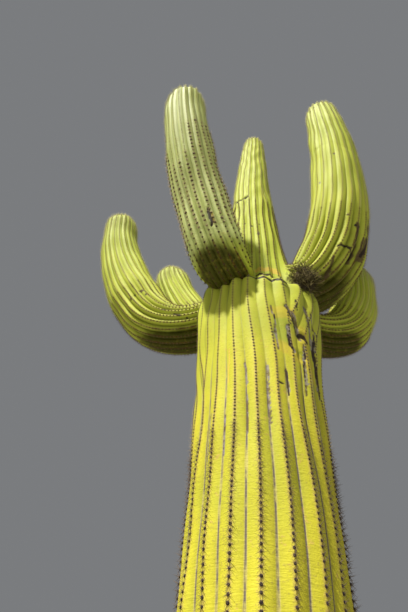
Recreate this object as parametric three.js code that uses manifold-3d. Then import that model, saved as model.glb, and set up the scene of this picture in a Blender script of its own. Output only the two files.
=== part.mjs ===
import * as THREE from 'three';
import { mergeVertices } from 'three/addons/utils/BufferGeometryUtils.js';
import Module from 'manifold-3d';

// A saguaro cactus: a ribbed trunk that swells to a shoulder, five ribbed arms that leave it there,
// and a tuft of dry stalks caught in the crotch of one arm.
// Millimetres. +Z is up, +X is right and -Y is the front. The origin is the middle of the trunk's
// foot, on the ground. Every radius is taken over the crests of the ribs.

const wasm = await Module();
wasm.setup();

// Driving dimensions of the trunk.
const TRUNK = {
  height: 7150,
  ribs: 20,
  groove: 0.09,
  dome: 200,
  step: 200,
  lean: [[0, 0], [2000, 0], [2700, -4], [3400, 0], [4500, -20], [5300, -30], [7150, -10]],
  girth: [
    [0, 285], [120, 258], [400, 242], [1000, 240], [1900, 258], [2400, 272], [2850, 297], [3150, 330],
    [3400, 333], [3560, 288], [3700, 240], [3880, 212], [4200, 193], [5100, 170], [6360, 142], [7150, 118],
  ],
};

// At the front the shoulder ends lower: the girth there is read up to drop higher up. The drop is whole
// within the first angle from its heading and nothing past the second, and it sets in and dies out
// between the heights given.
const FRONT_DIP = { drop: 400, heading: -80, angles: [22, 52], setsIn: [3150, 3500], diesOut: [3600, 4400] };

// Each arm starts inside the trunk and follows legs of [length, heading, climb]. A heading is in
// degrees counter-clockwise from +X, seen from above, and a climb is in degrees above the level.
// Girth is [share of the arm's length, radius]. The arm is two solids that meet at the bend, and the
// first is cut back from that of the arm named as beside it.
const ARMS = {
  left: {
    start: [-200, 70, 3425],
    legs: [[210, 169, -11], [210, 171, 17], [380, 173, 52], [450, 186, 63], [430, 200, 70], [410, 216, 78]],
    girth: [[0, 138], [0.12, 150], [0.3, 173], [0.45, 180], [0.7, 160], [0.9, 137], [1, 130]],
    bend: 0.28,
    ribs: 22,
  },
  front: {
    start: [-91, -98, 3521],
    legs: [[290, 249, -25], [150, 234, 54], [280, 227, 67], [430, 238, 64], [480, 246, 67], [450, 245, 76]],
    girth: [[0, 112], [0.057, 115], [0.125, 142], [0.27, 156], [0.475, 161], [0.71, 154], [0.88, 145], [1, 134]],
    bend: 0.27,
    ribs: 20,
  },
  right: {
    start: [120, 20, 3690],
    legs: [[190, 354, -15], [280, 341, 51], [396, 311, 65], [655, 293, 75], [748, 281, 80], [620, 291, 86]],
    girth: [[0, 148], [0.074, 178], [0.162, 206], [0.238, 206], [0.356, 199], [0.575, 184], [0.82, 158], [1, 142]],
    bend: 0.188,
    ribs: 20,
  },
  rear_right: {
    start: [195, 190, 3508],
    legs: [[190, 26, 0], [190, 19, 25], [270, 10, 60], [280, 2, 78], [280, 2, 82]],
    girth: [[0, 120], [0.15, 134], [0.35, 151], [0.7, 150], [1, 138]],
    bend: 0.45,
    ribs: 24,
    beside: 'right',
  },
  rear_left: {
    start: [-150, 240, 3500],
    legs: [[300, 154, 32], [450, 167, 60], [340, 180, 69], [180, 214, 79]],
    girth: [[0, 110], [0.2, 142], [0.6, 155], [1, 135]],
    bend: 0.4,
    ribs: 22,
    beside: 'left',
  },
};
const ARM_GROOVE = 0.12;
const ARM_DOME = 180;
const ARM_STEP = 155;

// The tuft of dry stalks: where it sits, its half sizes, and the lumps of its outline, as a share of
// its size with their waves and phases along X, Y and Z.
const TUFT = {
  at: [262, -200, 3420],
  half: [85, 75, 150],
  detail: 3,
  lumps: 0.16,
  waves: [9, 7, 8],
  phases: [2, -1, 3],
};

// Gap between solids that meet, and how far a cutter stands out from the solid it copies.
const GAP = 0.3;
const CUT = 0.4;

// Corners of one rib across its width: the groove, then the two edges of its crest.
const RIB_CORNERS = [{ share: 0, deep: 1 }, { share: 0.28, deep: 0 }, { share: 0.72, deep: 0 }];

// Sections of a domed tip, as angles from its rim towards its pole.
const DOME_ANGLES = [20, 42, 62, 78];

// Steps along an arm at which its side directions are carried on.
const FRAMES = 400;

// Vertices nearer than this are one vertex.
const MERGE = 0.001;

const SKIN = { color: 0x9aa24a, roughness: 0.6 };
const STALKS = { color: 0x6b5a3e, roughness: 0.95 };

// A smooth curve through rows of [where, value].
function smoothTable(rows) {
  const at = rows.map((row) => row[0]);
  const values = rows.map((row) => row[1]);
  const curve = new THREE.CubicInterpolant(at, values, 1);
  return (x) => curve.evaluate(x)[0];
}

// Distances along a limb at which it has a section, each with the share of the full radius there.
function sections(from, to, step, dome) {
  const shaftEnd = to - dome;
  const count = Math.max(1, Math.round((shaftEnd - from) / step));
  const list = [];
  for (let i = 0; i <= count; i += 1) {
    list.push({ at: from + ((shaftEnd - from) * i) / count, share: 1 });
  }
  if (dome > 0) {
    for (const degrees of DOME_ANGLES) {
      const angle = THREE.MathUtils.degToRad(degrees);
      list.push({ at: shaftEnd + dome * Math.sin(angle), share: Math.cos(angle) });
    }
  }
  return list;
}

// A ribbed limb: a capped cylinder whose rings are laid at the sections and whose columns are the
// corners of the ribs. frameAt gives a section's centre and its two side directions.
function ribbedLimb({ list, ribs, groove, radiusAt, frameAt, grow = 0 }) {
  const columns = ribs * RIB_CORNERS.length;
  const rings = list.length - 1;
  const geometry = new THREE.CylinderGeometry(1, 1, 1, columns, rings);
  const position = geometry.getAttribute('position');
  const point = new THREE.Vector3();
  for (let i = 0; i < position.count; i += 1) {
    point.fromBufferAttribute(position, i);
    const section = list[Math.round((point.y + 0.5) * rings)];
    const turn = Math.atan2(point.x, point.z) / (2 * Math.PI);
    const column = (Math.round(turn * columns) + columns) % columns;
    const corner = RIB_CORNERS[column % RIB_CORNERS.length];
    const angle = (2 * Math.PI * (Math.floor(column / RIB_CORNERS.length) + corner.share)) / ribs;
    const unit = Math.round(Math.hypot(point.x, point.z));
    const radius = unit * (radiusAt(section.at, angle) * section.share * (1 - groove * corner.deep) + grow);
    const { centre, side, front } = frameAt(section.at);
    point.copy(centre);
    point.addScaledVector(side, radius * Math.cos(angle));
    point.addScaledVector(front, radius * Math.sin(angle));
    position.setXYZ(i, point.x, point.y, point.z);
  }
  return closed(geometry);
}

// Merges shared vertices, so that the mesh is one closed skin.
function closed(geometry) {
  geometry.deleteAttribute('normal');
  geometry.deleteAttribute('uv');
  const merged = mergeVertices(geometry, MERGE);
  merged.computeVertexNormals();
  return merged;
}

function toSolid(geometry) {
  const mesh = new wasm.Mesh({
    numProp: 3,
    vertProperties: new Float32Array(geometry.getAttribute('position').array),
    triVerts: new Uint32Array(geometry.getIndex().array),
  });
  return new wasm.Manifold(mesh);
}

function toGeometry(solid) {
  const mesh = solid.getMesh();
  const geometry = new THREE.BufferGeometry();
  geometry.setAttribute('position', new THREE.BufferAttribute(new Float32Array(mesh.vertProperties), 3));
  geometry.setIndex(new THREE.BufferAttribute(new Uint32Array(mesh.triVerts), 1));
  geometry.computeVertexNormals();
  return geometry;
}

// How much higher up the trunk's girth is read, at a height and an angle round it.
function frontDip(height, angle) {
  const { drop, heading, angles, setsIn, diesOut } = FRONT_DIP;
  const turn = angle - THREE.MathUtils.degToRad(heading);
  const away = THREE.MathUtils.radToDeg(Math.acos(Math.cos(turn)));
  const share = THREE.MathUtils.smoothstep(height, ...setsIn) * (1 - THREE.MathUtils.smoothstep(height, ...diesOut));
  return drop * share * (1 - THREE.MathUtils.smoothstep(away, ...angles));
}

// The trunk's sections stay level, so that its foot is a flat cut on the ground.
function trunkGeometry(grow = 0) {
  const leanAt = smoothTable(TRUNK.lean);
  const girthAt = smoothTable(TRUNK.girth);
  return ribbedLimb({
    list: sections(0, TRUNK.height, TRUNK.step, TRUNK.dome),
    ribs: TRUNK.ribs,
    groove: TRUNK.groove,
    radiusAt: (height, angle) => girthAt(height + frontDip(height, angle)),
    frameAt: (height) => ({
      centre: new THREE.Vector3(leanAt(height), 0, height),
      side: new THREE.Vector3(1, 0, 0),
      front: new THREE.Vector3(0, 1, 0),
    }),
    grow,
  });
}

function armCurve(arm) {
  const point = new THREE.Vector3(...arm.start);
  const points = [point.clone()];
  for (const [length, heading, climb] of arm.legs) {
    const turn = THREE.MathUtils.degToRad(heading);
    const rise = THREE.MathUtils.degToRad(climb);
    const level = length * Math.cos(rise);
    point.x += level * Math.cos(turn);
    point.y += level * Math.sin(turn);
    point.z += length * Math.sin(rise);
    points.push(point.clone());
  }
  return new THREE.CatmullRomCurve3(points, false, 'centripetal');
}

// The stretch of an arm between two distances along it, with a domed tip if dome is over 0.
function armGeometry(arm, from, to, dome, grow = 0) {
  const curve = armCurve(arm);
  const length = curve.getLength();
  const frames = curve.computeFrenetFrames(FRAMES, false);
  const girthAt = smoothTable(arm.girth);
  return ribbedLimb({
    list: sections(from * length, to * length, ARM_STEP, dome),
    ribs: arm.ribs,
    groove: ARM_GROOVE,
    radiusAt: (distance) => girthAt(distance / length),
    frameAt: (distance) => {
      const share = Math.min(1, distance / length);
      const index = Math.round(share * FRAMES);
      return { centre: curve.getPointAt(share), side: frames.normals[index], front: frames.binormals[index] };
    },
    grow,
  });
}

function armBend(arm, grow = 0) {
  return armGeometry(arm, 0, arm.bend, 0, grow);
}

function armLimb(arm) {
  const start = arm.bend + GAP / armCurve(arm).getLength();
  return armGeometry(arm, start, 1, ARM_DOME);
}

// A ball with an uneven outline, cut back from the trunk and the arm that hold it.
function tuftGeometry(cutters) {
  const geometry = closed(new THREE.IcosahedronGeometry(1, TUFT.detail));
  const position = geometry.getAttribute('position');
  const point = new THREE.Vector3();
  for (let i = 0; i < position.count; i += 1) {
    point.fromBufferAttribute(position, i);
    const wave = point.toArray().reduce(
      (product, value, axis) => product * Math.sin(TUFT.waves[axis] * value + TUFT.phases[axis]),
      1,
    );
    point.multiplyScalar(1 + TUFT.lumps * wave);
    point.multiply(new THREE.Vector3(...TUFT.half)).add(new THREE.Vector3(...TUFT.at));
    position.setXYZ(i, point.x, point.y, point.z);
  }
  return toGeometry(cutters.reduce((solid, cutter) => solid.subtract(cutter), toSolid(geometry)));
}

function addMesh(parent, name, geometry, finish) {
  const material = new THREE.MeshStandardMaterial({ ...finish, metalness: 0 });
  const mesh = new THREE.Mesh(geometry, material);
  mesh.name = name;
  parent.add(mesh);
}

const group = new THREE.Group();
const trunkCutter = toSolid(trunkGeometry(CUT));

addMesh(group, 'trunk', trunkGeometry(), SKIN);
for (const [place, arm] of Object.entries(ARMS)) {
  const cutters = [trunkCutter];
  if (arm.beside) {
    cutters.push(toSolid(armBend(ARMS[arm.beside], CUT)));
  }
  const bend = cutters.reduce((solid, cutter) => solid.subtract(cutter), toSolid(armBend(arm)));
  addMesh(group, `arm_${place}_bend`, toGeometry(bend), SKIN);
  addMesh(group, `arm_${place}_limb`, armLimb(arm), SKIN);
}
const rightArmCutter = toSolid(armBend(ARMS.right, CUT));
addMesh(group, 'dry_tuft', tuftGeometry([trunkCutter, rightArmCutter]), STALKS);

export default group;
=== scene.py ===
# %% [markdown]
# # A saguaro cactus
# The plant is a tall ribbed trunk that swells to a shoulder, with five ribbed arms round it. What one
# sees on it is carried by the ribs: rows of felted pads, called areoles, run along each crest, and each
# pad holds a star of spines. So this lesson first works out where any spot of the skin is, from its place
# along a limb and across a rib. Skin, pads and spines all ask the same function, and so fit each other.

# %% Load the frame
import math

import bmesh
import bpy
import numpy as np
from mathutils import Matrix, Vector
from mathutils.kdtree import KDTree


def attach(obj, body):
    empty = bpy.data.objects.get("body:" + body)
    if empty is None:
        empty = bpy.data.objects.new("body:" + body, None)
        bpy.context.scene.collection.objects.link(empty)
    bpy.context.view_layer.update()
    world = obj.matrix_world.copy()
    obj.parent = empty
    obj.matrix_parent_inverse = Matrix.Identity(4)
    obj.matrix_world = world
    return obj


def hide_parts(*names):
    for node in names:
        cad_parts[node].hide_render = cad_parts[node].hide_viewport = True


def placed(name, data):
    made = bpy.data.objects.new(name, data)
    bpy.context.scene.collection.objects.link(made)
    return made


def smooth_object(mesh):
    mesh.polygons.foreach_set("use_smooth", [True] * len(mesh.polygons))
    return placed(mesh.name, mesh)


def from_bmesh(bm, name):
    mesh = bpy.data.meshes.new(name)
    bm.to_mesh(mesh)
    bm.free()
    return smooth_object(mesh)


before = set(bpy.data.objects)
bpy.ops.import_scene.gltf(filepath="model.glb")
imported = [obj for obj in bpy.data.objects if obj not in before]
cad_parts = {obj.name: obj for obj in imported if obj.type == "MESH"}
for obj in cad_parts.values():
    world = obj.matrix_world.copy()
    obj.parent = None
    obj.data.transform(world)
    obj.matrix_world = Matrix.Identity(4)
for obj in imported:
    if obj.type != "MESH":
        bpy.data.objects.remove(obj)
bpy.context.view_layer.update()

# %% [markdown]
# The picture was taken close to the trunk, at eye height, with a wide lens that looks steeply up. The
# trunk leans in it because the camera was rolled. The same view is set here as a place, a heading, a
# climb and a roll.

# %% Camera
EYE_HEIGHT = 1.45
EYE_DISTANCE = 1.45
LENS, SENSOR, FAR = 24.0, 36.0, 100.0
HEADING, CLIMB, ROLL = (math.radians(a) for a in (-12.7, 53.7, 9.1))


def make_camera():
    data = bpy.data.cameras.new("camera")
    data.lens, data.sensor_width = LENS, SENSOR
    data.clip_end = FAR
    camera = placed("camera", data)
    turn = Matrix.Rotation(-HEADING, 4, "Z") @ Matrix.Rotation(math.pi / 2 + CLIMB, 4, "X")
    place = Matrix.Translation((0, -EYE_DISTANCE, EYE_HEIGHT))
    camera.matrix_world = place @ turn @ Matrix.Rotation(ROLL, 4, "Z")
    bpy.context.scene.camera = camera
    return camera


camera = make_camera()
gaze = camera.matrix_world.to_quaternion() @ Vector((0, 0, -1))
print("camera looks along", tuple(round(v, 3) for v in gaze))

# %% [markdown]
# The floor and the surround are plain and pale. One lamp from the upper left in front gives the ribs
# their light and dark sides, and the surround fills the shade. It is a sun lamp, which lights the whole
# cactus evenly, and its angle keeps the shadows' edges soft. Its direction follows from where the nearest
# arm's shadow falls on the shoulder.

# %% Floor and light
FLOOR_SIZE = 60.0
SUN_FROM = Vector((-0.3, -0.52, 0.8))
SUN_STRENGTH = 6.0
SUN_ANGLE = math.radians(2.5)
SUN_COLOR = (1.0, 0.97, 0.9)
SURROUND_STRENGTH = 0.21
SURROUND_COLOR = (0.93, 0.96, 1.0, 1)


def make_floor():
    bm = bmesh.new()
    bmesh.ops.create_grid(bm, x_segments=1, y_segments=1, size=FLOOR_SIZE / 2)
    floor = from_bmesh(bm, "floor")
    return floor


def make_lights():
    sun = bpy.data.lights.new("sun", "SUN")
    sun.energy, sun.angle = SUN_STRENGTH, SUN_ANGLE
    sun.color = SUN_COLOR
    lamp = placed("sun", sun)
    lamp.rotation_mode = "QUATERNION"
    lamp.rotation_quaternion = SUN_FROM.to_track_quat("Z", "Y")
    world = bpy.data.worlds.new("surround")
    world.use_nodes = True
    back = world.node_tree.nodes["Background"]
    back.inputs["Color"].default_value = SURROUND_COLOR
    back.inputs["Strength"].default_value = SURROUND_STRENGTH
    bpy.context.scene.world = world
    bpy.context.scene.view_settings.view_transform = "Standard"


floor = make_floor()
make_lights()
print("sun from", tuple(round(v, 2) for v in SUN_FROM.normalized()))

# %% [markdown]
# Shader maths is easier to read as Python sums than as boxes and wires. `Wire` holds a socket of a
# material, and the sums, differences and products of wires add their own Math nodes. `Paint` makes a
# material with a Principled shader, and its one method `node` makes any other kind of node. The first
# material made with them is the floor's, a plain pale grey.

# %% A small language for materials
FLOOR_TONES = (0.31, 0.31, 0.3), (0.35, 0.35, 0.34)


class Wire:
    def __init__(self, paint, socket):
        self.paint, self.socket = paint, socket

    def math(self, operation, first, second):
        return self.paint.node("ShaderNodeMath", {"operation": operation}, {0: first, 1: second})

    def __add__(self, other):
        return self.math("ADD", self, other)

    def __sub__(self, other):
        return self.math("SUBTRACT", self, other)

    def __rsub__(self, other):
        return self.math("SUBTRACT", other, self)

    def __mul__(self, other):
        return self.math("MULTIPLY", self, other)

    __radd__ = __add__

    def step(self, low, high):
        """0 below low and 1 above high, or the other way round where low is the larger."""
        inputs = {"Value": self, 1: low, 2: high, 3: 0, 4: 1}
        return self.paint.node("ShaderNodeMapRange", {"interpolation_type": "SMOOTHSTEP"}, inputs)


class Paint:
    def __init__(self, name, roughness=0.6, gloss=0.25):
        self.material = bpy.data.materials.new(name)
        self.material.use_nodes = True
        self.tree = self.material.node_tree
        self.shader = self.tree.nodes["Principled BSDF"]
        self.shader.inputs["Roughness"].default_value = roughness
        self.shader.inputs["Specular IOR Level"].default_value = gloss

    def link(self, source, socket):
        if isinstance(source, Wire):
            self.tree.links.new(source.socket, socket)
        elif socket.type == "RGBA":
            socket.default_value = (*source, 1)
        else:
            socket.default_value = source

    def node(self, kind, settings=None, inputs=None, output=0):
        made = self.tree.nodes.new(kind)
        for name, value in (settings or {}).items():
            setattr(made, name, value)
        for name, value in (inputs or {}).items():
            self.link(value, made.inputs[name])
        return Wire(self, made.outputs[output])

    def place(self, scale=(1, 1, 1)):
        """Object coordinates, stretched by scale."""
        spot = self.node("ShaderNodeTexCoord", output="Object")
        return self.node("ShaderNodeMapping", None, {"Vector": spot, "Scale": scale})

    def attribute(self, name):
        return self.node("ShaderNodeAttribute", {"attribute_name": name}, output="Fac")

    def noise(self, vector, scale, detail=3.0, roughness=0.6):
        inputs = {"Vector": vector, "Scale": scale, "Detail": detail, "Roughness": roughness}
        return self.node("ShaderNodeTexNoise", None, inputs)

    def mix(self, share, low, high):
        """low where share is 0 and high where it is 1."""
        return self.node("ShaderNodeMix", {"data_type": "RGBA"}, {0: share, 6: low, 7: high}, output=2)

    def finish(self, color, roughness=None, height=None, depth=0.004):
        self.link(color, self.shader.inputs["Base Color"])
        if roughness is not None:
            self.link(roughness, self.shader.inputs["Roughness"])
        if height is not None:
            bump = self.node("ShaderNodeBump", None, {"Height": height, "Distance": depth})
            self.link(bump, self.shader.inputs["Normal"])
        return self.material


paper = Paint("pale_floor", roughness=0.9)
grain = paper.noise(paper.place(), scale=3.0)
floor.data.materials.append(paper.finish(paper.mix(grain, *FLOOR_TONES)))
print("floor paint ready")

# %% [markdown]
# ## The limbs
# Trunk and arms are described by the same few sizes as in the construction model: an axis, and the
# radius over the rib crests along it. An arm's axis follows legs of length, heading and climb. In a real
# saguaro, ribs split in two where the stem swells, so the trunk has nineteen ribs at eye height and
# twenty-four at its shoulder. `splits` says which rib splits at which distance along the limb, and
# where its halves are one again. At the front the trunk's shoulder ends lower: this is the `dip`, and the
# girth there is read a little higher up. Below it the ribs `drift` to one side. `groove` is how deep the
# grooves are, as a share of the girth, and `depths` how that changes along the limb. `profile` rounds the
# ribs. `pads_apart` is the distance of the pads along a rib, for places along the limb, and their rows
# begin at `rows_from`. `elbow` and `under` say where an arm's bend ends and how steeply its skin faces
# down, for the paint.

# %% Sizes of the limbs, in metres and degrees
TRUNK = {
    "axis": [
        (0, 0, 0), (0, 0, 2), (-0.004, 0, 2.7), (0, 0, 3.4), (-0.02, 0, 4.5), (-0.03, 0, 5.3),
        (-0.01, 0, 7.15),
    ],
    "girth": [
        (0, 0.285), (0.12, 0.258), (0.4, 0.242), (1.0, 0.24), (1.9, 0.258), (2.4, 0.272), (2.85, 0.297),
        (3.15, 0.33), (3.4, 0.333), (3.56, 0.288), (3.7, 0.24), (3.88, 0.212), (4.2, 0.193), (5.1, 0.17),
        (6.36, 0.142), (7.15, 0.118),
    ],
    "ribs": 19,
    "splits": {2: (3.05, 4.9), 6: (2.3, 4.6), 9: (2.45, 4.4), 12: (2.9, 5.0), 16: (2.75, 4.7)},
    "pads_apart": [
        (0, 0.023), (1.5, 0.022), (2.1, 0.0188), (2.45, 0.015), (2.62, 0.015), (2.8, 0.019),
        (3.4, 0.021), (4, 0.023),
    ],
    "rows_from": 0.06,
    "profile": (1.45, 0.9),
    "groove": 0.075,
    "depths": {"start": 0.65, "changes": [(-0.23, 2.5, 2.75), (0.58, 3.05, 3.25), (-0.53, 3.5, 3.8)]},
    "dome": 0.2,
    "turn": -91,
    "drift": {"turn": -7.5, "heading": -78, "width": 50, "between": (2.65, 3.15)},
    "dip": {
        "drop": 0.4, "heading": -80, "angles": (22, 52), "sets_in": (3.15, 3.5), "dies_out": (3.6, 4.4),
    },
}
ARMS = {
    "left": {
        "start": (-0.2, 0.07, 3.425),
        "legs": [
            (0.21, 169, -11), (0.21, 171, 17), (0.38, 173, 52), (0.45, 186, 63), (0.43, 200, 70),
            (0.41, 216, 78),
        ],
        "girth": [
            (0, 0.138), (0.12, 0.15), (0.3, 0.173), (0.45, 0.18), (0.7, 0.16), (0.9, 0.137), (1, 0.13),
        ],
        "ribs": 22,
        "depths": (1.6, 0.5),
        "under": (0.5, 1.0),
    },
    "front": {
        "start": (-0.091, -0.098, 3.521),
        "legs": [
            (0.29, 249, -25), (0.15, 234, 54), (0.28, 227, 67), (0.43, 238, 64), (0.48, 246, 67),
            (0.45, 245, 76),
        ],
        "girth": [
            (0, 0.112), (0.057, 0.115), (0.125, 0.142), (0.27, 0.156), (0.475, 0.161), (0.71, 0.154),
            (0.88, 0.145), (1, 0.134),
        ],
        "ribs": 20,
        "groove": 0.08,
        "pads_apart": [(0, 0.036)],
        "elbow": (0.15, 0.23),
    },
    "right": {
        "start": (0.12, 0.02, 3.69),
        "legs": [
            (0.19, 354, -15), (0.28, 341, 51), (0.396, 311, 65), (0.655, 293, 75), (0.748, 281, 80),
            (0.62, 291, 86),
        ],
        "girth": [
            (0, 0.148), (0.074, 0.178), (0.162, 0.206), (0.238, 0.206), (0.356, 0.199), (0.575, 0.184),
            (0.82, 0.158), (1, 0.142),
        ],
        "ribs": 20,
        "depths": (1.75, 0.38),
    },
    "rear_right": {
        "start": (0.195, 0.19, 3.508),
        "legs": [(0.19, 26, 0), (0.19, 19, 25), (0.27, 10, 60), (0.28, 2, 78), (0.28, 2, 82)],
        "girth": [(0, 0.12), (0.15, 0.134), (0.35, 0.151), (0.7, 0.15), (1, 0.138)],
        "ribs": 24,
    },
    "rear_left": {
        "start": (-0.15, 0.24, 3.5),
        "legs": [(0.3, 154, 32), (0.45, 167, 60), (0.34, 180, 69), (0.18, 214, 79)],
        "girth": [(0, 0.11), (0.2, 0.142), (0.6, 0.155), (1, 0.135)],
        "ribs": 22,
    },
}
# What a limb has where its own table says nothing else.
SHARED = {
    "groove": 0.095, "dome": 0.18, "depths": (1.45, 0.6), "profile": (2.0, 0.75), "splits": {}, "turn": 0,
    "drift": None, "dip": None, "pads_apart": [(0, 0.023)], "rows_from": 0.02, "elbow": (0.25, 0.45),
    # `under` gives the slopes between which a bend's down-facing skin is darkened as painted shade.
    "under": (0.25, 0.85),
}
# How high the trunk's two skins meet.
SEAM = 3.8
print("arms:", ", ".join(ARMS))

# %% [markdown]
# Some small tools of geometry. `smooth_table` draws a soft curve through a few measured values.
# `swept_axis` draws a centripetal Catmull-Rom curve through the joints of the legs, which keeps tight
# bends free of loops. `carry_sides` takes a side direction along the axis without twisting it, so ribs
# run straight along an arm, as real ribs do. `turned` and `corners` serve whatever goes round.

# %% Curves
def smooth_table(rows):
    at, value = (np.array(column, float) for column in zip(*rows))
    slope = np.diff(value) / np.diff(at)
    tangent = np.r_[0, (slope[:-1] + slope[1:]) / 2, 0]

    def curve(x):
        x = np.clip(x, at[0], at[-1])
        i = np.clip(np.searchsorted(at, x, side="right") - 1, 0, len(slope) - 1)
        span = at[i + 1] - at[i]
        p = (x - at[i]) / span
        rise = value[i + 1] - value[i]
        bend = (tangent[i] * span) * p * (1 - p) ** 2 - (tangent[i + 1] * span) * p**2 * (1 - p)
        return value[i] + rise * p**2 * (3 - 2 * p) + bend

    return curve


def legs_to_points(start, legs):
    points = [np.array(start, float)]
    for length, heading, climb in legs:
        turn, rise = math.radians(heading), math.radians(climb)
        level = length * math.cos(rise)
        run = np.array([level * math.cos(turn), level * math.sin(turn), length * math.sin(rise)])
        points.append(points[-1] + run)
    return points


def swept_axis(points, per_span=80):
    points = np.array(points, float)
    padded = np.vstack([2 * points[0] - points[1], points, 2 * points[-1] - points[-2]])
    out = []
    for p0, p1, p2, p3 in zip(padded, padded[1:], padded[2:], padded[3:]):
        d0, d1, d2 = (np.linalg.norm(b - a) ** 0.5 for a, b in ((p0, p1), (p1, p2), (p2, p3)))
        t1 = ((p1 - p0) / d0 - (p2 - p0) / (d0 + d1) + (p2 - p1) / d1) * d1
        t2 = ((p2 - p1) / d1 - (p3 - p1) / (d1 + d2) + (p3 - p2) / d2) * d1
        s = np.linspace(0, 1, per_span, endpoint=False)[:, None]
        cubic = (2 * p1 - 2 * p2 + t1 + t2) * s**3 + (3 * p2 - 3 * p1 - 2 * t1 - t2) * s**2
        out.append(cubic + t1 * s + p1)
    return np.vstack([*out, points[-1]])


def carry_sides(tangents, side):
    sides = []
    for tangent in tangents:
        side = side - tangent * (side @ tangent)
        side = side / np.linalg.norm(side)
        sides.append(side)
    return np.array(sides)


def soft_step(x, low, high):
    p = np.clip((x - low) / (high - low), 0, 1)
    return p * p * (3 - 2 * p)


def unit(vectors):
    return vectors / np.maximum(np.linalg.norm(vectors, axis=-1), 1e-9)[..., None]


def turned(angle, first, second):
    """The first direction, turned by the angle towards the second."""
    return np.cos(angle)[..., None] * first + np.sin(angle)[..., None] * second


def corners(sides):
    return 2 * math.pi * np.arange(sides) / sides


print("girth of the trunk at 3.3 m:", round(float(smooth_table(TRUNK["girth"])(3.3)), 3))

# %% [markdown]
# Living skin is never quite even. `Ripple` is a seeded field of soft waves over two coordinates, a sum of
# sines with random paces and phases. It makes ribs wander, swell and pinch. Its first coordinate is the
# share of the way round a limb, and every sine has a whole number of waves in that, so the field closes
# without a seam. Ragged edges and lumps use it with coordinates of their own.

# %% Seeded waves
class Ripple:
    def __init__(self, seed, around=1, waves=8):
        rng = np.random.default_rng(seed)
        self.x = rng.integers(-around, around + 1, waves)
        self.y = rng.uniform(0.3, 1.3, waves)
        self.phase = rng.uniform(0, 2 * math.pi, waves)

    def __call__(self, x, y):
        total = 0
        for kx, ky, phase in zip(self.x, self.y, self.phase):
            total = total + np.sin(2 * math.pi * (kx * x + ky * y) + phase)
        return total / math.sqrt(len(self.x))


print("a wave at its start:", round(float(Ripple(5)(0, 0)), 3))

# %% [markdown]
# ## Where the skin is
# `Limb.skin` answers the one question of this lesson: where is the skin at this distance along the limb,
# and at this place across the ribs? Ribs are counted in whole numbers, so 3.5 is the middle of rib 3,
# if it doesn't split. A splitting rib is two units wide from the start, and its middle groove and its
# second half grow from nothing at the split.

# %% The limb
# Shares of an arm are of its length, but of this at most.
LONG_ARM = 2.0
# How far ribs lean aside, in ribs, and how far the skin swells, in metres.
LEAN, SWELL = 0.08, 0.0035


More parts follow.
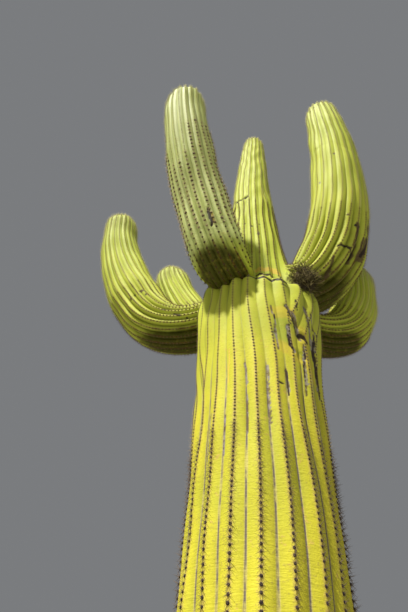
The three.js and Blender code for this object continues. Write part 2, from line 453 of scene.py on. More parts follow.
class Limb:
    def __init__(self, name, sizes, seed):
        """The trunk is level: its distances are heights, and its rings lie flat."""
        self.name, self.level, self.sizes = name, name == "trunk", SHARED | sizes
        self.ribs, self.dome, splits = sizes["ribs"], self.sizes["dome"], self.sizes["splits"]
        points = swept_axis(sizes["axis"] if self.level else legs_to_points(sizes["start"], sizes["legs"]))
        along = np.r_[0, np.cumsum(np.linalg.norm(np.diff(points, axis=0), axis=1))]
        tangents = np.gradient(points, axis=0)
        if self.level:
            along, tangents[:] = points[:, 2], (0, 0, 1)
        tangents /= np.linalg.norm(tangents, axis=1)[:, None]
        first = np.array([1.0, 0, 0]) if self.level else np.cross(tangents[0], (0, 0, 1.0))
        sides = carry_sides(tangents, first)
        self.table = (along, points, tangents, sides, np.cross(tangents, sides))
        self.length = along[-1]
        self.span = min(self.length, LONG_ARM)
        girth, whole = smooth_table(sizes["girth"]), 1 if self.level else self.length
        self.girth = lambda distance: girth(distance / whole)
        self.units = np.array([2 if i in splits else 1 for i in range(self.ribs)])
        self.split_at = np.array([splits.get(i, (1e9, 2e9)) for i in range(self.ribs)])
        self.first = np.r_[0, np.cumsum(self.units)]
        self.turn = math.radians(self.sizes["turn"])
        self.wander, self.swell, self.fade = Ripple(seed, 4), Ripple(seed + 1, 7), Ripple(seed + 2, 7)
        self.marks = []

    def frames(self, distance):
        along, *columns = self.table
        return [np.stack([np.interp(distance, along, c[:, k]) for k in range(3)], -1) for c in columns]

    def grown(self, distance, rib, reach=0.4):
        """How far a rib is split here, from 0 to 1."""
        begin, end = self.split_at[rib, 0], self.split_at[rib, 1]
        split = soft_step(distance, begin - reach / 2, begin + reach / 2)
        return split * (1 - soft_step(distance, end - reach, end + reach))

    def rib_at(self, across):
        return np.clip(np.searchsorted(self.first, across, side="right") - 1, 0, self.ribs - 1)

    def angle(self, distance, across):
        rib = self.rib_at(across)
        widths = [1 + self.grown(distance, i) * (self.units[i] - 1) for i in range(self.ribs)]
        ends = np.cumsum([np.zeros_like(distance), *widths], axis=0)
        start = np.take_along_axis(ends, rib[None], 0)[0]
        width = np.take_along_axis(np.array(widths), rib[None], 0)[0]
        local = (across - self.first[rib]) / self.units[rib]
        lean = LEAN * self.wander(across / self.first[-1], distance * 0.9)
        lean = lean * soft_step(self.length - distance, 0, 0.4)
        turn = 2 * math.pi * (start + local * width - 0.5 + lean) / ends[-1]
        turn = turn + self.turn
        drift = self.sizes["drift"]
        if drift:
            off = turn - math.radians(drift["heading"])
            away = np.degrees(np.arcsin(np.sin(off)))
            share = np.exp(-((away / drift["width"]) ** 2)) * (np.cos(off) > 0)
            turn = turn + math.radians(drift["turn"]) * share * soft_step(distance, *drift["between"])
        return turn, rib, local

    def crown(self, distance, rib, local):
        """Height of the rib's surface, from 0 in the groove to 1 on the crest."""
        flat, full = self.sizes["profile"]

        def arc(t):
            return np.clip(1 - np.abs(t) ** flat, 0, 1) ** full

        whole = arc(2 * local - 1)
        split = arc(2 * ((local * 2) % 1) - 1)
        share = self.grown(distance, rib) * (self.units[rib] - 1)
        return whole * (1 - share) + split * share

    def depth(self, distance, across):
        """How deep the grooves are here, as a share of their full depth."""
        lively = 0.9 + 0.2 * self.fade(across / self.first[-1], distance * 0.9)
        if self.level:
            share = self.sizes["depths"]["start"]
            for change, begin, end in self.sizes["depths"]["changes"]:
                share = share + change * soft_step(distance, begin, end)
            lively = lively * share
        else:
            low, high = self.sizes["depths"]
            lively = lively * (low + (high - low) * soft_step(distance / self.span, 0.22, 0.55))
        return np.clip(lively * soft_step(self.length - distance, -0.05, 0.22), 0.12, 1.8)

    def radius(self, distance, turn=None):
        shaft = self.length - self.dome
        over = np.clip((distance - shaft) / self.dome, 0, 1)
        read = distance
        dip = self.sizes["dip"]
        if dip and turn is not None:
            away = np.degrees(np.arccos(np.cos(turn - math.radians(dip["heading"]))))
            share = soft_step(distance, *dip["sets_in"]) * (1 - soft_step(distance, *dip["dies_out"]))
            read = distance + dip["drop"] * share * (1 - soft_step(away, *dip["angles"]))
        return self.girth(read) * np.sqrt(np.clip(1 - over**2, 0, 1))

    def skin(self, distance, across):
        """The place of the skin, and how high on its rib it is."""
        distance, across = np.broadcast_arrays(np.asarray(distance, float), np.asarray(across, float))
        turn, rib, local = self.angle(distance, across)
        centre, _, side, front = self.frames(distance)
        high = 1 - (1 - self.crown(distance, rib, local)) * self.depth(distance, across)
        full = self.radius(distance, turn)
        young = np.clip(self.radius(distance) / np.maximum(self.girth(distance), 1e-6), 0, 1)
        radius = full * (1 - self.sizes["groove"] * (1 - high))
        radius = radius + SWELL * self.swell(across / self.first[-1], distance * 2.2) * young
        for mark in self.marks:
            if mark.depth:
                radius = radius + mark.depth * mark.share(self, distance, turn) * young
        return centre + turned(turn, side, front) * np.maximum(radius, 0)[..., None], high


limbs = {"trunk": Limb("trunk", TRUNK, seed=11)}
for number, (name, arm) in enumerate(ARMS.items()):
    limbs[name] = Limb(name, arm, seed=30 + 5 * number)
print({name: f"{limb.length:.2f} m, {limb.first[-1]} ribs" for name, limb in limbs.items()})

# %% [markdown]
# ## Marks of age and painted shade
# Old skin carries corky strips, dents, cracks and healed scars. Each is a `Mark`: a ragged streak along a
# few points of one limb, or a spot at one point. A point is a distance along the limb and a turn round
# it, in degrees. The kinds are kept as numbers on the skin, and its material paints them. A mark may be
# raised or sunk by its depth, and one of the kind "dent" is a hollow with no paint. At the front of the
# shoulder, the dark marks of a crack along the rim and of a band just above it are sunk a little and
# painted dark as the shade of the gap where the rim hides the upper stem.

# %% Marks
KINDS = ("green", "halo", "scar", "cork", "strip", "dark")
TRUNK_MARKS = [
    # Painted shade in part: a crack cut along the front of the shoulder's rim, painted dark as the shade
    # of the gap where the rim hides the upper stem.
    ("dark", 0.016, -0.007, (3.29, -101), (3.283, -92), (3.266, -87), (3.258, -80), (3.264, -76),
     (3.272, -72)),
    ("dark", 0.016, -0.007, (3.272, -72), (3.268, -68), (3.25, -66), (3.262, -61)),
    ("dark", 0.008, -0.003, (3.222, -67), (3.22, -63)),
    ("scar", 0.036, 0.001, (3.53, -88), (3.56, -74), (3.59, -60), (3.57, -48)),
    # Painted shade: a dark band on the upper stem just above the rim, where the rim hides it.
    ("dark", 0.014, -0.004, (3.475, -90), (3.49, -70), (3.5, -52)),
    ("green", 0.05, 0, (2.96, -70), (2.85, -67.5)),
    ("halo", 0.05, 0, (3.0, -74), (3.02, -62)),
    ("halo", 0.05, 0, (2.79, -68), (2.77, -55)),
    ("halo", 0.04, 0, (2.95, -47), (2.7, -38)),
    ("strip", 0.013, -0.004, (3.063, -65), (3.007, -57), (2.956, -54), (2.91, -51), (2.88, -50)),
    ("dark", 0.006, -0.002, (3.03, -62), (2.96, -57), (2.9, -54)),
    ("strip", 0.012, -0.003, (2.93, -63), (2.86, -62), (2.813, -61), (2.787, -57)),
    ("dark", 0.007, -0.002, (2.87, -62.5), (2.815, -61.5), (2.79, -58)),
    ("strip", 0.013, -0.004, (3.13, -44), (3.037, -41), (2.981, -36), (2.915, -34)),
    ("dark", 0.022, -0.01, (2.912, -49), (2.9, -42)),
    ("green", 0.024, -0.004, (2.79, -51), (2.77, -50)),
    ("strip", 0.006, -0.002, (2.84, -47), (2.74, -46), (2.62, -45)),
    ("dark", 0.008, -0.003, (2.88, -33), (2.77, -30), (2.7, -24)),
    ("dark", 0.024, -0.01, (2.71, -20), (2.64, -20)),
    ("scar", 0.005, -0.001, (2.78, -115), (2.6, -116)),
    ("dark", 0.008, -0.002, (2.588, -73.5), (2.58, -70)),
    ("dark", 0.019, -0.012, (4.86, -142), (4.81, -124), (4.8, -112), (4.825, -103)),
    ("dark", 0.012, -0.002, (4.245, -110)),
    ("dark", 0.012, -0.002, (4.184, -95)),
    ("dark", 0.011, -0.002, (4.225, -78)),
    ("strip", 0.013, -0.002, (4.09, -81), (4.05, -81)),
    ("strip", 0.009, -0.003, (3.11, -37), (3.03, -31), (2.996, -18)),
    ("strip", 0.009, -0.003, (3.0, -30), (2.89, -29)),
    ("dark", 0.006, -0.002, (2.98, -30), (2.91, -29)),
    ("dark", 0.016, -0.006, (2.78, -27), (2.74, -28)),
    ("strip", 0.008, -0.003, (2.879, -75), (2.772, -72)),
    ("strip", 0.006, -0.002, (2.665, -82), (2.594, -81)),
    ("strip", 0.006, -0.002, (2.665, -66), (2.553, -64)),
    ("strip", 0.005, -0.001, (2.685, -101), (2.578, -99)),
    ("strip", 0.005, -0.001, (2.477, -132), (2.217, -134)),
    ("dark", 0.006, -0.002, (3.134, -55), (3.063, -54)),
    ("strip", 0.012, -0.004, (2.945, -33), (2.864, -33), (2.772, -28), (2.685, -28), (2.63, -26)),
    ("dark", 0.007, -0.003, (2.94, -31), (2.86, -31), (2.77, -26), (2.63, -24)),
    ("strip", 0.006, -0.002, (2.864, -46), (2.782, -46), (2.731, -48), (2.573, -47)),
    ("dark", 0.0035, -0.001, (2.84, -45.5), (2.782, -45.5), (2.731, -47.5), (2.6, -46.5)),
    ("strip", 0.0055, -0.002, (2.517, -99), (2.354, -99)),
    ("strip", 0.0055, -0.002, (2.436, -117), (2.283, -118)),
    ("strip", 0.006, -0.002, (3.037, -79), (2.956, -75), (2.854, -74)),
    ("dark", 0.0035, -0.001, (3.0, -77), (2.956, -74.5)),
    ("strip", 0.0055, -0.002, (2.584, -82), (2.4, -81)),
    ("dark", 0.004, -0.001, (2.66, -65.5), (2.533, -64.5)),
]
LEFT_MARKS = [
    ("cork", 0.015, -0.003, (0.66, 160)),
    ("dark", 0.012, -0.003, (0.685, 172)),
    ("cork", 0.014, -0.003, (0.7, -170), (0.68, -165)),
    ("dark", 0.011, -0.003, (0.62, -166)),
    ("scar", 0.014, 0, (0.65, 106)),
    ("dark", 0.01, 0, (0.37, -178), (0.34, -176)),
    ("dark", 0.011, 0, (0.28, 172), (0.24, 165)),
    ("dark", 0.01, 0, (0.2, 157)),
]
FRONT_MARKS = [
    ("dark", 0.01, -0.006, (0.54, 122), (0.5, 120), (0.46, 121), (0.43, 118)),
    ("scar", 0.008, 0.001, (0.5, 126), (0.44, 123)),
]
RIGHT_MARKS = [
    ("dark", 0.01, -0.005, (0.447, 32), (0.49, 45), (0.46, 59)),
    ("dark", 0.009, -0.003, (0.677, 49), (0.687, 62)),
    ("cork", 0.021, -0.004, (0.697, 56), (0.543, 61), (0.397, 64)),
    ("dark", 0.009, -0.003, (0.665, 58), (0.543, 62), (0.42, 64)),
    ("cork", 0.026, -0.004, (0.816, 92), (0.626, 91), (0.5, 86)),
    ("dark", 0.012, -0.003, (0.73, 92), (0.62, 91), (0.53, 87)),
    ("cork", 0.022, -0.003, (0.62, 76), (0.46, 76)),
    ("cork", 0.014, -0.003, (0.35, 36), (0.24, 50)),
    ("dent", 0.03, -0.003, (1.679, -40), (1.642, 1), (1.568, 39), (1.541, 62)),
    ("strip", 0.011, -0.002, (1.455, 8)),
    ("strip", 0.012, -0.002, (1.149, -31)),
    ("cork", 0.012, -0.002, (0.732, 33)),
]
MARKS = {"trunk": TRUNK_MARKS, "left": LEFT_MARKS, "front": FRONT_MARKS, "right": RIGHT_MARKS}


def wrapped(turn):
    return (turn + math.pi) % (2 * math.pi) - math.pi


class Mark:
    def __init__(self, seed, kind, half, depth, *points):
        self.kind, self.half, self.depth = kind, half, depth
        self.distance, turn = (np.array(column, float) for column in zip(*points))
        self.turn = np.radians(turn)
        self.edge = Ripple(seed)

    def share(self, limb, distance, turn):
        """1 in the middle and 0 outside, with a ragged edge between."""
        out = np.zeros(distance.shape)
        low, high = self.distance.min() - 2 * self.half, self.distance.max() + 2 * self.half
        close = (distance > low) & (distance < high)
        if not close.any():
            return out
        reach = limb.girth(self.distance[0])
        x = distance[close] - self.distance[0]
        y = wrapped(turn[close] - self.turn[0]) * reach
        along, around = self.distance - self.distance[0], wrapped(self.turn - self.turn[0]) * reach
        near = np.hypot(x, y)
        for ax, ay, bx, by in zip(along, around, along[1:], around[1:]):
            part = ((x - ax) * (bx - ax) + (y - ay) * (by - ay)) / ((bx - ax) ** 2 + (by - ay) ** 2)
            part = np.clip(part, 0, 1)
            near = np.minimum(near, np.hypot(x - ax - part * (bx - ax), y - ay - part * (by - ay)))
        ragged = 0.17 * self.edge(x / self.half / 4, y / self.half / 4)
        out[close] = 1 - soft_step(near / self.half + ragged, 0.5, 1.05)
        return out


for name, rows in MARKS.items():
    limbs[name].marks = [Mark(100 + number, *row) for number, row in enumerate(rows)]
print("marks:", {name: len(rows) for name, rows in MARKS.items()})

# %% [markdown]
# ## Rows of pads
# A row of pads runs along the crest of every rib, and divides where its rib splits. Each row is laid
# out by the length along the skin itself, so pads keep their distance on the outside and the inside of
# a bend. They stand closest where the trunk begins to swell. Not every row reaches the growing tip: each
# ends where the limb's radius falls to one of three sizes. A pad needs a place and three directions: out
# of the skin, up the rib and across it.

# %% Rows of pads
BEAD, BEAD_REACH = 0.0022, 0.0085
ROW_STEPS, ROW_JITTER = 2400, 0.05
ROW_ENDS = (0.014, 0.036, 0.02)
BRANCH_BEGINS = 0.12
UP_STEP, ACROSS_STEP = 0.006, 0.05


def pad_rows(limb, rng):
    rows, apart = [], list(zip(*limb.sizes["pads_apart"]))
    for rib in range(limb.ribs):
        for branch in range(limb.units[rib]):
            fine = np.linspace(limb.sizes["rows_from"], limb.length, ROW_STEPS)
            grown = limb.grown(fine, rib)
            local = 0.5 if limb.units[rib] == 1 else 0.5 + (branch - 0.5) * 0.5 * grown
            across = limb.first[rib] + limb.units[rib] * local + 0 * fine
            keep = limb.radius(fine) > ROW_ENDS[(rib + branch) % 3]
            if branch:
                keep &= grown > BRANCH_BEGINS
            fine, across = fine[keep], across[keep]
            place = limb.skin(fine, across)[0]
            gap = np.interp(fine[1:], *apart)
            run = np.r_[0, np.cumsum(np.linalg.norm(np.diff(place, axis=0), axis=1) / gap)]
            stops = np.arange(rng.uniform(0, 1), run[-1], 1)
            stops = stops + rng.normal(0, ROW_JITTER, len(stops))
            rows.append((np.interp(stops, run, fine), np.interp(stops, run, across)))
    return (np.concatenate(column) for column in zip(*rows))


def pad_frames(limb, distance, across):
    place = limb.skin(distance, across)[0]
    up = unit(place - limb.skin(distance - UP_STEP, across)[0])
    left, right = (limb.skin(distance, across + step)[0] for step in (-ACROSS_STEP, ACROSS_STEP))
    out = unit(np.cross(right - left, up))
    return place + out * BEAD, out, up, np.cross(out, up)


def outside_trunk(place, margin=-0.01):
    trunk = limbs["trunk"]
    centre = trunk.frames(place[:, 2])[0]
    return np.hypot(*(place - centre)[:, :2].T) > trunk.girth(place[:, 2]) + margin


def select(pad, keep):
    return {key: value[keep] for key, value in pad.items()}


def make_pads(limb, rng):
    distance, across = pad_rows(limb, rng)
    place, out, up, side = pad_frames(limb, distance, across)
    keep = np.ones(len(place), bool) if limb.level else outside_trunk(place)
    return select({"distance": distance, "place": place, "out": out, "up": up, "side": side}, keep)


rng = np.random.default_rng(5)
pads = {name: make_pads(limb, rng) for name, limb in limbs.items()}
counts = {name: len(pad["place"]) for name, pad in pads.items()}
print("pads:", counts, "in all", sum(counts.values()))

# %% [markdown]
# ## The skin
# A flat grid is wrapped round the limb: its columns become places across the ribs, its rows distances
# along the axis. The columns crowd near the grooves, where the skin turns sharply, and the rows towards
# the tip. The skin bulges a little under each pad. The trunk is two skins that meet above the shoulder,
# ring on ring. Each end is closed with a face with sharp edges, which leaves the skin's shading alone.

# %% Skin meshes
TRUNK_COLUMNS, ARM_COLUMNS = 12, 10
LOWER_RINGS = [(1.7, 0.015), (SEAM, 0.0092)]
UPPER_STEP, ARM_STEP, TIP_RINGS = 0.0115, 0.0105, 26


def spread(columns_per_unit, units):
    u = np.linspace(0, units, columns_per_unit * units + 1)
    part = u - np.floor(u)
    return np.floor(u) + 0.5 - 0.5 * (0.6 * np.cos(math.pi * part) + 0.4 * (1 - 2 * part))


def rings(limb, low, high, steps):
    """Distances of the rings: steps is a list of (up to this distance, step)."""
    shaft = limb.length - limb.dome
    out, at = [], low
    for end, step in steps:
        end = min(end, high, shaft)
        if end > at:
            out.append(np.linspace(at, end, max(2, round((end - at) / step)), endpoint=False))
            at = end
    if high > shaft:
        rise = np.linspace(0, math.pi / 2, TIP_RINGS)
        out.append(shaft + limb.dome * np.sin(rise))
    else:
        out.append([high])
    return np.concatenate(out)


def bead_heights(places, pad_places):
    tree = KDTree(len(pad_places))
    for i, place in enumerate(pad_places):
        tree.insert(place, i)
    tree.balance()
    away = np.array([tree.find(place)[2] for place in places])
    return np.exp(-((away / BEAD_REACH) ** 2))


def valleys(limb, distance, across, place):
    """How far it is, across the skin, to the bottom of the nearest groove."""
    rib = limb.rib_at(across)
    low, high = limb.first[rib], limb.first[rib + 1]
    grooves = (low, high, (low + high) / 2)
    away = [np.linalg.norm(place - limb.skin(distance, at)[0], axis=1) for at in grooves]
    whole = 1 - limb.grown(distance, rib) * (limb.units[rib] - 1)
    return np.minimum(np.minimum(away[0], away[1]), away[2] + 0.1 * whole)


def youth(limb, distance):
    """0 on the yellow old skin of the trunk's foot, 1 on the greenest skin near a tip."""
    if limb.level:
        return 0.7 * soft_step(distance, 2.1, 3.7)
    if limb.name == "front":
        return 0.6 + 0.4 * soft_step(distance / limb.length, 0.08, 0.2)
    return 0.6 + 0.3 * soft_step(distance / limb.length, 0.3, 0.9)


def bend_and_under(limb, distance, outward):
    """1 along an arm's bend, and 1 on the part of it that faces down. Both are 0 on the trunk."""
    if limb.level:
        return 0 * distance, 0 * distance
    bend = 1 - soft_step(distance / limb.span, *limb.sizes["elbow"])
    return bend, bend * soft_step(-outward[:, 2], *limb.sizes["under"])


def wrap_skin(name, limb, distances, columns_per_unit):
    columns = spread(columns_per_unit, limb.first[-1])
    bm = bmesh.new()
    bmesh.ops.create_grid(bm, x_segments=len(columns) - 1, y_segments=len(distances) - 1, size=1)
    flat = np.array([v.co[:2] for v in bm.verts]) / 2 + 0.5
    col = np.rint(flat[:, 0] * (len(columns) - 1)).astype(int)
    row = np.rint(flat[:, 1] * (len(distances) - 1)).astype(int)
    distance, across = distances[row], columns[col]
    across = np.where(col == len(columns) - 1, 0.0, across)
    turn = limb.angle(distance, across)[0]
    place, high = limb.skin(distance, across)
    bead = bead_heights(place, pads[limb.name]["place"])
    outward = unit(place - limb.frames(distance)[0])
    values = {"crest": high, "bead": bead, "young": youth(limb, distance)}
    values["valley"] = valleys(limb, distance, across, place)
    # `under` is where a bend's skin faces down, and the paint darkens it there as painted shade.
    values["elbow"], values["under"] = bend_and_under(limb, distance, outward)
    place = place + outward * (BEAD * bead)[:, None]
    for kind in KINDS:
        some = [mark for mark in limb.marks if mark.kind == kind]
        values[kind] = sum((mark.share(limb, distance, turn) for mark in some), 0 * high)
    layers = {key: bm.verts.layers.float.new(key) for key in values}
    for number, vert in enumerate(bm.verts):
        vert.co = place[number]
    for key, layer in layers.items():
        for vert, value in zip(bm.verts, np.clip(values[key], 0, 100)):
            vert[layer] = value
    bm.verts.ensure_lookup_table()
    last = len(distances) - 1
    edge = (col == 0) | (col == len(columns) - 1) | ((row == last) & (distance >= limb.length - 1e-6))
    bmesh.ops.remove_doubles(bm, verts=[bm.verts[i] for i in np.flatnonzero(edge)], dist=1e-5)
    for edge in [e for e in bm.edges if e.is_boundary]:
        edge.smooth = False
    bmesh.ops.holes_fill(bm, edges=[e for e in bm.edges if e.is_boundary], sides=0)
    bmesh.ops.recalc_face_normals(bm, faces=bm.faces)
    return from_bmesh(bm, name)


def make_skins():
    trunk = limbs["trunk"]
    fine = 1
    low = rings(trunk, 0, SEAM, [(end, step * fine) for end, step in LOWER_RINGS])
    high = rings(trunk, SEAM, trunk.length, [(trunk.length, UPPER_STEP * fine)])
    skins = {}
    for name, distances in (("trunk_skin_lower", low), ("trunk_skin_upper", high)):
        skins[name] = wrap_skin(name, trunk, distances, TRUNK_COLUMNS // fine)
    for name in ARMS:
        limb = limbs[name]
        distances = rings(limb, 0, limb.length, [(limb.length, ARM_STEP * fine)])
        skins[name] = wrap_skin(f"arm_{name}_skin", limb, distances, ARM_COLUMNS // fine)
    return skins


skins = make_skins()
for made in skins.values():
    print(made.name, sum(len(face.vertices) - 2 for face in made.data.polygons), "triangles")

# %% [markdown]
# The skin's paint works from the numbers kept on it. A crest is lemon yellow and a flank yellow-green, and
# the paint darkens the skin towards a groove, most on old skin, as painted shade. At the bottom of a
# groove runs a thin violet-grey line of painted shade with pale edges, which breaks off here and there.
# Noise of several sizes mottles this, and fine wrinkles run across the ribs. Along an arm's bend the
# crests are brown. Where the bend faces down, its skin is darkened to a dark olive and its crests to a
# dark brown, as painted shade. The marks of age, and two marks of painted shade at the shoulder, go on
# top.

# %% Skin paint
def paint_skin():
    paint = Paint("green_skin", roughness=0.6, gloss=0.1)
    spot = paint.place()
    broad = paint.noise(spot, 2.2, detail=2.0)
    cloud = paint.noise(spot, 14.0, detail=4.0)
    blot = paint.noise(spot, 30.0, detail=3.0)
    speck = paint.noise(spot, 110.0, detail=2.0)
    streak = paint.noise(paint.place((9.0, 9.0, 1.6)), 3.0, detail=3.0)
    wrinkle = paint.noise(paint.place((8.0, 8.0, 60.0)), 3.0, detail=3.0)
    crest, bead, valley = (paint.attribute(key) for key in ("crest", "bead", "valley"))
    young, under, elbow = (paint.attribute(key) for key in ("young", "under", "elbow"))
    old = 1.0 - young
    # Painted shade: each tone below runs from a darker one low in the grooves to a lighter one on the
    # crest, mottled by noise.
    lively = crest + (cloud - 0.5) * 0.5 + (streak - 0.5) * 0.35
    yellow = paint.mix(lively.step(0.2, 0.95), (0.46, 0.43, 0.035), (0.66, 0.6, 0.045))
    lime = paint.mix(lively.step(0.1, 0.95), (0.43, 0.49, 0.055), (0.52, 0.585, 0.07))
    pale = paint.mix(lively.step(0.1, 0.95), (0.47, 0.53, 0.18), (0.61, 0.665, 0.245))
    color = paint.mix(young.step(0.0, 0.8), yellow, lime)
    # Painted shade: `groove` is 1 low in a groove, where the skin is darkened towards olive, most on old
    # skin.
    groove = (crest + (cloud - 0.5) * 0.3).step(0.35, 0.0)
    # Painted shade: a thin violet-grey line along the bottom of each groove, broken where the noise is
    # low, with a pale band beside it.
    edge = valley + (streak - 0.5) * 0.004 + (cloud - 0.5) * 0.003
    painted_crease_line = edge.step(0.0048, 0.002) * (streak + (cloud - 0.5) * 0.9).step(0.3, 0.5)
    low = young.step(0.3, 0.1)
    ridge = (crest + (cloud - 0.5) * 0.25 + (streak - 0.5) * 0.3).step(0.92, 1.03) * elbow
    # Painted shade: `olive` is where an arm's bend faces down, and the skin there is darkened to a dark
    # olive.
    olive = (under + (cloud - 0.5) * 0.6).step(0.15, 0.8)
    layers = [
        (young.step(0.82, 1.0) * 0.9, pale),
        (broad.step(0.45, 0.7) * 0.35, (0.36, 0.43, 0.05)),
        (groove * (0.04 + old * 0.55), (0.18, 0.17, 0.03)),
        (edge.step(0.008, 0.003) * low * 0.4, (0.62, 0.5, 0.26)),
        (painted_crease_line * (0.2 + low * 0.7), (0.13, 0.105, 0.115)),
        (speck.step(0.58, 0.7) * (old * 0.25 + 0.12), (0.3, 0.22, 0.08)),
        (blot.step(0.64, 0.72) * old * 0.4, (0.66, 0.36, 0.16)),
        (bead.step(0.05, 0.5) * old * 0.3, (0.62, 0.36, 0.2)),
        (bead.step(0.25, 0.9) * (old * 0.5 + 0.15), (0.42, 0.28, 0.08)),
        (ridge * 0.45, (0.27, 0.15, 0.035)),
        # Painted shade: the down-facing skin of a bend goes dark olive, and its crests there dark brown.
        (olive * 0.92, (0.036, 0.032, 0.002)),
        (ridge * under.step(0.05, 0.4) * 0.7, (0.1, 0.045, 0.005)),
    ]
    ragged = (speck - 0.5) * 0.6 + (blot - 0.5) * 0.9 + (cloud - 0.5) * 0.6
    bark = paint.mix(blot.step(0.42, 0.58), (0.3, 0.26, 0.26), (0.12, 0.08, 0.05))
    marks = {
        "green": ((0.3, 0.37, 0.045), 0.6, 1.0), "halo": ((0.7, 0.5, 0.06), 0.45, 1.0),
        "scar": ((0.78, 0.53, 0.09), 0.7, 0.8), "cork": ((0.12, 0.07, 0.04), 0.85, 0.7),
        "strip": (bark, 0.85, 0.7), "dark": ((0.045, 0.03, 0.025), 0.95, 0.6),
    }
    for kind, (tone, strength, soft) in marks.items():
        share = (paint.attribute(kind) + ragged * soft).step(0.45 - soft / 2, 0.45 + soft / 2)
        layers.append((share * strength, tone))
    for share, tone in layers:
        color = paint.mix(share, color, tone)
    relief = cloud * 0.6 + speck * 0.25 + wrinkle * 0.35 + paint.attribute("cork") * speck
    return paint.finish(color, roughness=cloud * 0.2 + 0.5, height=relief)


green = paint_skin()
for name, made in skins.items():
    made.data.materials.append(green)
    if name.startswith("trunk"):
        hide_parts("trunk")
    else:
        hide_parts(f"arm_{name}_bend", f"arm_{name}_limb")
    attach(made, "root")
print("skins placed:", len(skins))

# %% [markdown]
# ## Pads and spines
# There are thousands of each, so they are built as arrays and joined by limb. A pad is a low oval dome.
# A spine is a thin three-sided needle: two of each pad stand out, and the others lie flatter round it
# like a star. Old pads at the bottom are broad and blackish, with grey-brown spines. Where the trunk
# swells they are as dark, with few and short tan spines. Further up they get smaller and browner, and the
# spines at the tips are crowded, long and pale. On the nearest arm the pads stay broad and dark low down,
# and further up on the side that faces away from the sun, where this dark is painted shade. Its bend has
# few spines.

# %% Pads and spines
PAD_SIDES, NEEDLE_SIDES = 6, 3
PAD_HEIGHT = 0.35


def joined(name, verts, faces, material):
    mesh = bpy.data.meshes.new(name)
    mesh.from_pydata(verts.reshape(-1, 3).tolist(), [], faces.tolist())
    mesh.materials.append(material)
    made = smooth_object(mesh)
    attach(made, "root")
    return made


def copies(pattern, points, count):
    """The faces of one small piece with so many points, repeated for count pieces."""
    return (np.array(pattern)[None] + np.arange(count)[:, None, None] * points).reshape(-1, 3)


def pad_mesh(name, pad, wide, tall, material):
    count = len(pad["place"])
    ring = [(math.cos(angle), math.sin(angle)) for angle in corners(PAD_SIDES)]
    rim, brow = [(x, y, -0.4) for x, y in ring], [(0.72 * x, 0.72 * y, 0.65) for x, y in ring]
    sizes = np.stack([wide, tall, wide * PAD_HEIGHT], -1)[:, None]
    axes = np.stack([pad["side"], pad["up"], pad["out"]], 1)
    verts = pad["place"][:, None] + np.array([*rim, *brow, (0, 0, 1)]) * sizes @ axes
    faces = []
    for i in range(PAD_SIDES):
        j = (i + 1) % PAD_SIDES
        low, high, top = i + PAD_SIDES, j + PAD_SIDES, 2 * PAD_SIDES
        faces += [(i, low, j), (j, low, high), (low, top, high)]
    faces = copies(faces, 2 * PAD_SIDES + 1, count)
    return joined(name, verts, faces, material)


def spine_mesh(name, pad, number, length, thick, rng, material):
    count = len(pad["place"])
    turn = 2 * math.pi * (np.arange(number)[None] + rng.uniform(-0.4, 0.4, (count, number))) / number
    tilt = np.radians(rng.uniform(48, 84, (count, number)))
    tilt[:, :2] = np.radians(rng.uniform(5, 45, (count, 2)))
    reach = (length[:, None] * rng.uniform(0.55, 1.1, (count, number))).reshape(-1)
    star = turned(turn, pad["up"][:, None], pad["side"][:, None])
    way = turned(tilt, pad["out"][:, None], star).reshape(-1, 3)
    root = np.repeat(pad["place"] + pad["out"] * 0.001, number, 0)
    across = unit(np.cross(way, rng.normal(size=way.shape)))
    other = np.cross(way, across)
    base = root[:, None] + thick * turned(corners(NEEDLE_SIDES), across[:, None], other[:, None])
    tip = root + way * reach[:, None]
    verts = np.concatenate([base, tip[:, None]], 1)
    faces = copies([(0, 1, 3), (1, 2, 3), (2, 0, 3)], 4, len(way))
    return joined(name, verts, faces, material)


def plain(name, color, roughness):
    return Paint(name, roughness).finish(color)


FELTS = {
    "black": (0.03, 0.023, 0.03), "umber": (0.06, 0.04, 0.012), "brown": (0.1, 0.06, 0.02),
    "tan": (0.44, 0.38, 0.1),
}
SPINES = {
    "grey": (0.17, 0.12, 0.08), "brown": (0.2, 0.12, 0.05), "tan": (0.55, 0.42, 0.22),
    "pale": (0.6, 0.56, 0.24),
}
felts = {name: plain(f"{name}_felt", tone, 0.95) for name, tone in FELTS.items()}
spines = {name: plain(f"{name}_spine", tone, 0.6) for name, tone in SPINES.items()}
# Of each stage: the felt and half width of a pad, the number, length and half thickness of its spines,
# and their paint.
STAGES = {
    "old": ("black", 0.0046, 10, 0.026, 0.0007, "grey"),
    "swollen": ("black", 0.0047, 7, 0.018, 0.0005, "tan"),
    "bend": ("umber", 0.006, 6, 0.02, 0.0005, "brown"),
    "shady": ("umber", 0.0078, 12, 0.026, 0.0009, "tan"),
    "grown": ("brown", 0.0048, 9, 0.022, 0.0006, "brown"),
    "fresh": ("tan", 0.0034, 8, 0.022, 0.0005, "pale"),
    "tip": ("tan", 0.0033, 14, 0.028, 0.0006, "pale"),
}
# Where the stages begin and end: by the length left to the tip, by the share of an arm, and by how far a
# pad faces the sun.
OLD_LEFT, SWOLLEN_LEFT, GROWN_LEFT, TIP_LEFT = 4.75, 3.4, 2.4, 0.3
BEND_SHARE, SHADY_SHARE, SHADY_MORE, GROWN_SHARE = 0.21, 0.47, 0.25, 0.42
FACES_AWAY = 0.2


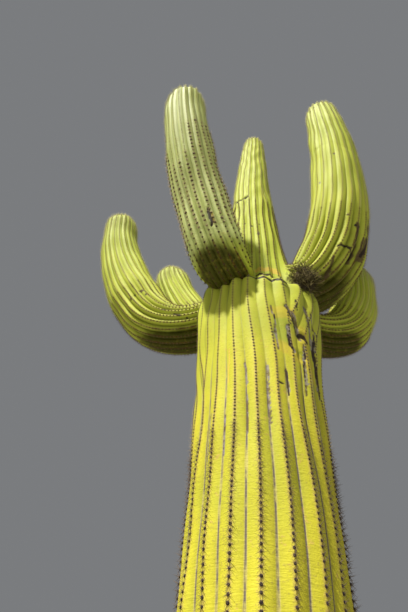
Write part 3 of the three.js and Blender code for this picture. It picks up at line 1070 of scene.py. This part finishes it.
def stages(limb, pad):
    """The pads of each stage. A pad belongs to the first stage whose rule it meets."""
    left, share = limb.length - pad["distance"], pad["distance"] / limb.span
    front, away = limb.name == "front", pad["out"] @ np.array(SUN_FROM) < FACES_AWAY
    rules = {
        "old": limb.level & (left >= OLD_LEFT),
        "swollen": limb.level & (left > SWOLLEN_LEFT),
        "bend": front & (share < BEND_SHARE),
        # Painted shade: on the nearest arm, pads facing away from the sun keep these dark pads further up.
        "shady": front & (share < SHADY_SHARE + SHADY_MORE * away),
        "grown": (left > GROWN_LEFT) if limb.level else (share < GROWN_SHARE),
        "fresh": left > TIP_LEFT,
        "tip": left <= TIP_LEFT,
    }
    free, found = np.ones(len(left), bool), {}
    for stage, rule in rules.items():
        found[stage] = rule & free
        free = free & ~rule
    return found


def dress(name, limb, pad, rng):
    """The pads and spines of one limb, in stages from old to young."""
    out = []
    for stage, keep in stages(limb, pad).items():
        some = select(pad, keep)
        count = len(some["place"])
        if not count:
            continue
        felt, half, number, length, thick, needle = STAGES[stage]
        wide = half * rng.uniform(0.88, 1.1, count)
        if stage == "old":
            wide = wide * (1.15 - 0.25 * soft_step(some["distance"], 1.8, 2.4))
        if stage == "shady":
            wide = wide * rng.uniform(0.6, 1.25, count)
        tall = wide * (0.85 if stage == "swollen" else 1)
        out.append(pad_mesh(f"areoles_{name}_{stage}", some, wide, tall, felts[felt]))
        length = np.full(count, length)
        if stage == "old":
            length = length * (0.55 + 0.65 * soft_step(some["distance"], 1.5, 2.2))
        if stage == "swollen":
            length = length * (1 - 0.6 * soft_step(some["distance"], 2.45, 2.8))
        out.append(spine_mesh(f"spines_{name}_{stage}", some, number, length, thick, rng, spines[needle]))
    return out


dressed = [made for name, limb in limbs.items() for made in dress(name, limb, pads[name], rng)]
for made in dressed:
    print(made.name, len(made.data.polygons), "triangles")

# %% [markdown]
# ## The dry tuft
# A tangle of dried stalks and chaff is caught between the trunk and the right arm. It is a small dark
# core with 760 bent strands round it, each a thin three-sided tube.

# %% Dry tuft
TUFT_AT, TUFT_HALF = np.array([0.262, -0.2, 3.42]), np.array([0.085, 0.075, 0.15])
STRAND_STEPS, STRAND_SIDES = 8, 3


def strand_mesh(name, count, rng, material):
    start = rng.normal(size=(count, 3))
    start = unit(start) * rng.uniform(0.2, 0.8, (count, 1)) * TUFT_HALF
    drift = start / TUFT_HALF * 0.8 + (-0.2, -0.1, -0.4)
    way = unit(rng.normal(size=(count, 3)) * (0.7, 0.7, 1) + drift)
    curl = unit(np.cross(way, rng.normal(size=(count, 3))))
    length, bend = rng.uniform(0.05, 0.19, count), rng.uniform(0.2, 1.7, count)
    share = np.linspace(0, 1, STRAND_STEPS + 1)
    turn = bend[:, None] * share
    arc = np.sin(turn)[..., None] * way[:, None] + (1 - np.cos(turn))[..., None] * curl[:, None]
    path = start[:, None] + (length / bend)[:, None, None] * arc
    limit = np.linalg.norm(path / TUFT_HALF / rng.uniform(0.95, 1.3, (count, 1, 1)), axis=-1)
    path = path / np.maximum(limit, 1)[..., None] + TUFT_AT
    other = np.cross(way, curl)
    beside = np.cross(turned(turn, way[:, None], curl[:, None]), other[:, None])
    half = (rng.uniform(0.0006, 0.0019, count)[:, None] * (1 - 0.6 * share))[..., None, None]
    ring = turned(corners(STRAND_SIDES), other[:, None, None], beside[:, :, None])
    verts = path[:, :, None] + half * ring
    faces, last = [], STRAND_SIDES * STRAND_STEPS
    for low in range(0, last, STRAND_SIDES):
        for i in range(STRAND_SIDES):
            a, b = low + i, low + (i + 1) % STRAND_SIDES
            faces += [(a, b, a + STRAND_SIDES), (b, b + STRAND_SIDES, a + STRAND_SIDES)]
    faces += [(2, 1, 0), (last, last + 1, last + 2)]
    return joined(name, verts, copies(faces, last + STRAND_SIDES, count), material)


def make_core():
    bm = bmesh.new()
    bmesh.ops.create_icosphere(bm, subdivisions=4, radius=1)
    wave = Ripple(77)
    for vert in bm.verts:
        x, y, z = vert.co
        lump = 0.6 + 0.12 * wave(x * 2 + z, y * 2 - z)
        vert.co = Vector(TUFT_AT + np.array((x, y, z)) * TUFT_HALF * lump)
    core = from_bmesh(bm, "dry_tuft_core")
    paint = Paint("dry_core", roughness=0.95)
    cloud = paint.noise(paint.place(), 60.0)
    color = paint.mix(cloud, (0.02, 0.014, 0.008), (0.14, 0.1, 0.04))
    core.data.materials.append(paint.finish(color, height=cloud, depth=0.01))
    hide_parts("dry_tuft")
    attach(core, "root")
    return core


core = make_core()
strands = [
    strand_mesh("dry_strands_pale", 160, rng, plain("dry_straw", (0.34, 0.27, 0.1), 0.85)),
    strand_mesh("dry_strands_olive", 260, rng, plain("dry_stalk", (0.12, 0.1, 0.025), 0.9)),
    strand_mesh("dry_strands_dark", 340, rng, plain("dry_twig", (0.03, 0.02, 0.01), 0.9)),
]
print("strands:", sum(len(made.data.polygons) for made in strands), "triangles")
